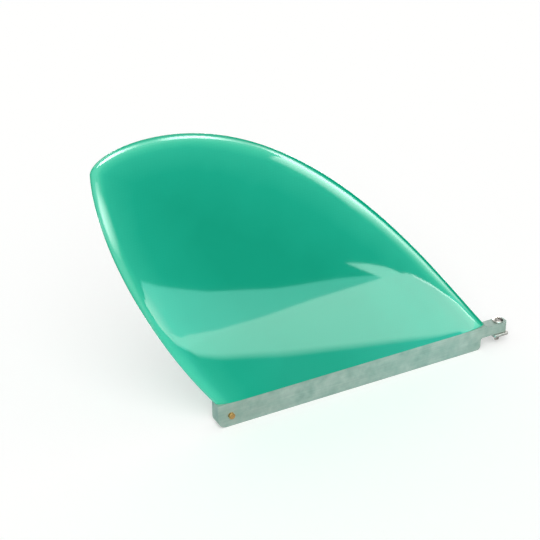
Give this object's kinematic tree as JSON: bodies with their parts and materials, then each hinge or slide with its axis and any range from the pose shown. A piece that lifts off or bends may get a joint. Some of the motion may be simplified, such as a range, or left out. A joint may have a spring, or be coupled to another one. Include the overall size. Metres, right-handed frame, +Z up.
{
  "type": "longboard fin",
  "caption": "Raked, foiled centre fin for a longboard, with a slot tab, cross pin, front tongue, screw and threaded plate.",
  "frame": {"origin": "foot of the trailing edge on the board line, in the middle of the thickness", "axes": "+X forward along the board, +Y across it, +Z up the blade, away from the board"},
  "size_m": [0.3277, 0.0134, 0.2277],
  "materials": {
    "laminate": "gloss",
    "brass": "satin",
    "stainless_steel": "satin"
  },
  "bodies": {
    "root": {"fin": "laminate", "cross_pin": "brass", "fin_screw": "stainless_steel", "screw_plate": "stainless_steel"}
  },
  "joints": []
}
